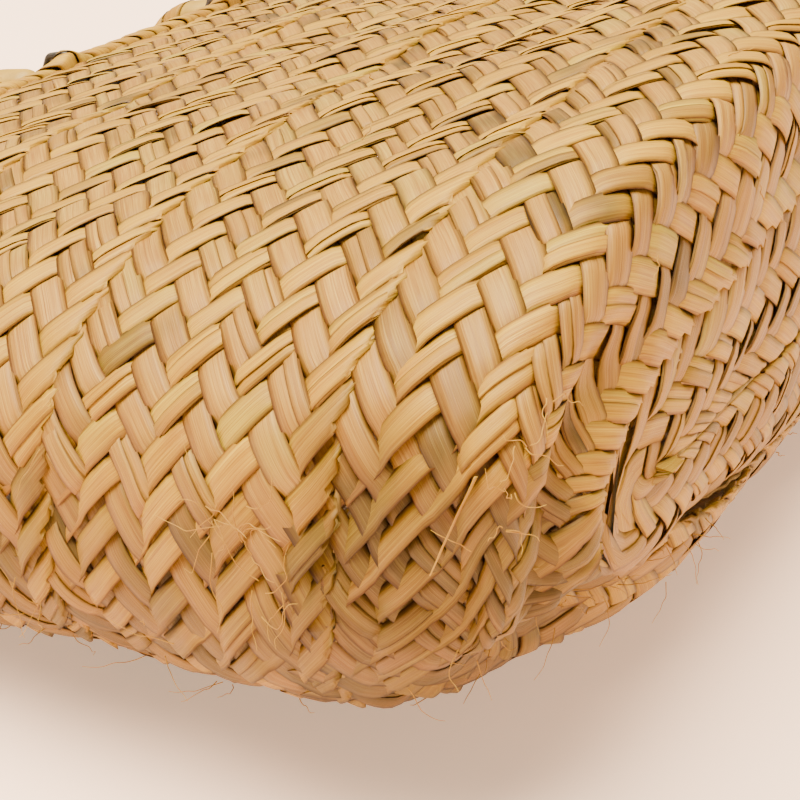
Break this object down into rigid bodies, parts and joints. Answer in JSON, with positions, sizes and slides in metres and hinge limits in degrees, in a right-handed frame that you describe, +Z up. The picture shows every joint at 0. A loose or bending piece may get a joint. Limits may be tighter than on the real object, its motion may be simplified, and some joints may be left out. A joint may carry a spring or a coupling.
{
  "type": "beach bag",
  "caption": "Oval plaited palm-leaf beach basket lying on its side, with wound rim and swinging U-shaped handles on leather laces.",
  "frame": {"origin": "centre of the footprint on the ground, the basket lying on one wide side", "axes": "+X along the width of the basket, +Y from the base to the mouth, +Z up from the wide side it lies on"},
  "size_m": [0.558, 0.4002, 0.1644],
  "materials": {
    "palm_leaf_plait": "satin",
    "sewing_twine": "matte",
    "rope_core": "matte",
    "rim_leaf": "satin",
    "handle_leaf": "satin",
    "dark_leather": "satin"
  },
  "bodies": {
    "bag": {"base_start_braid": "palm_leaf_plait", "braid_turn_1": "palm_leaf_plait", "braid_turn_2": "palm_leaf_plait", "braid_turn_3": "palm_leaf_plait", "braid_turn_4": "palm_leaf_plait", "centre_seam_twine": "sewing_twine", "seam_twine_1": "sewing_twine", "seam_twine_2": "sewing_twine", "seam_twine_3": "sewing_twine", "seam_twine_4": "sewing_twine", "rim_cord": "rope_core", "rim_winding": "rim_leaf", "upper_left_lace": "dark_leather", "upper_right_lace": "dark_leather", "lower_left_lace": "dark_leather", "lower_right_lace": "dark_leather"},
    "upper_handle": {"upper_handle_core": "rope_core", "upper_handle_winding": "handle_leaf"},
    "lower_handle": {"lower_handle_core": "rope_core", "lower_handle_winding": "handle_leaf"}
  },
  "joints": [
    {"name": "upper_handle_swing", "type": "hinge", "parent": "bag", "child": "upper_handle", "pos_m": [0, 0.0931, 0.10606], "axis": [1, 0, 0], "range_deg": [-15, 88]},
    {"name": "lower_handle_swing", "type": "hinge", "parent": "bag", "child": "lower_handle", "pos_m": [0, 0.09373, 0.0144], "axis": [1, 0, 0], "range_deg": [-85, 28]}
  ]
}
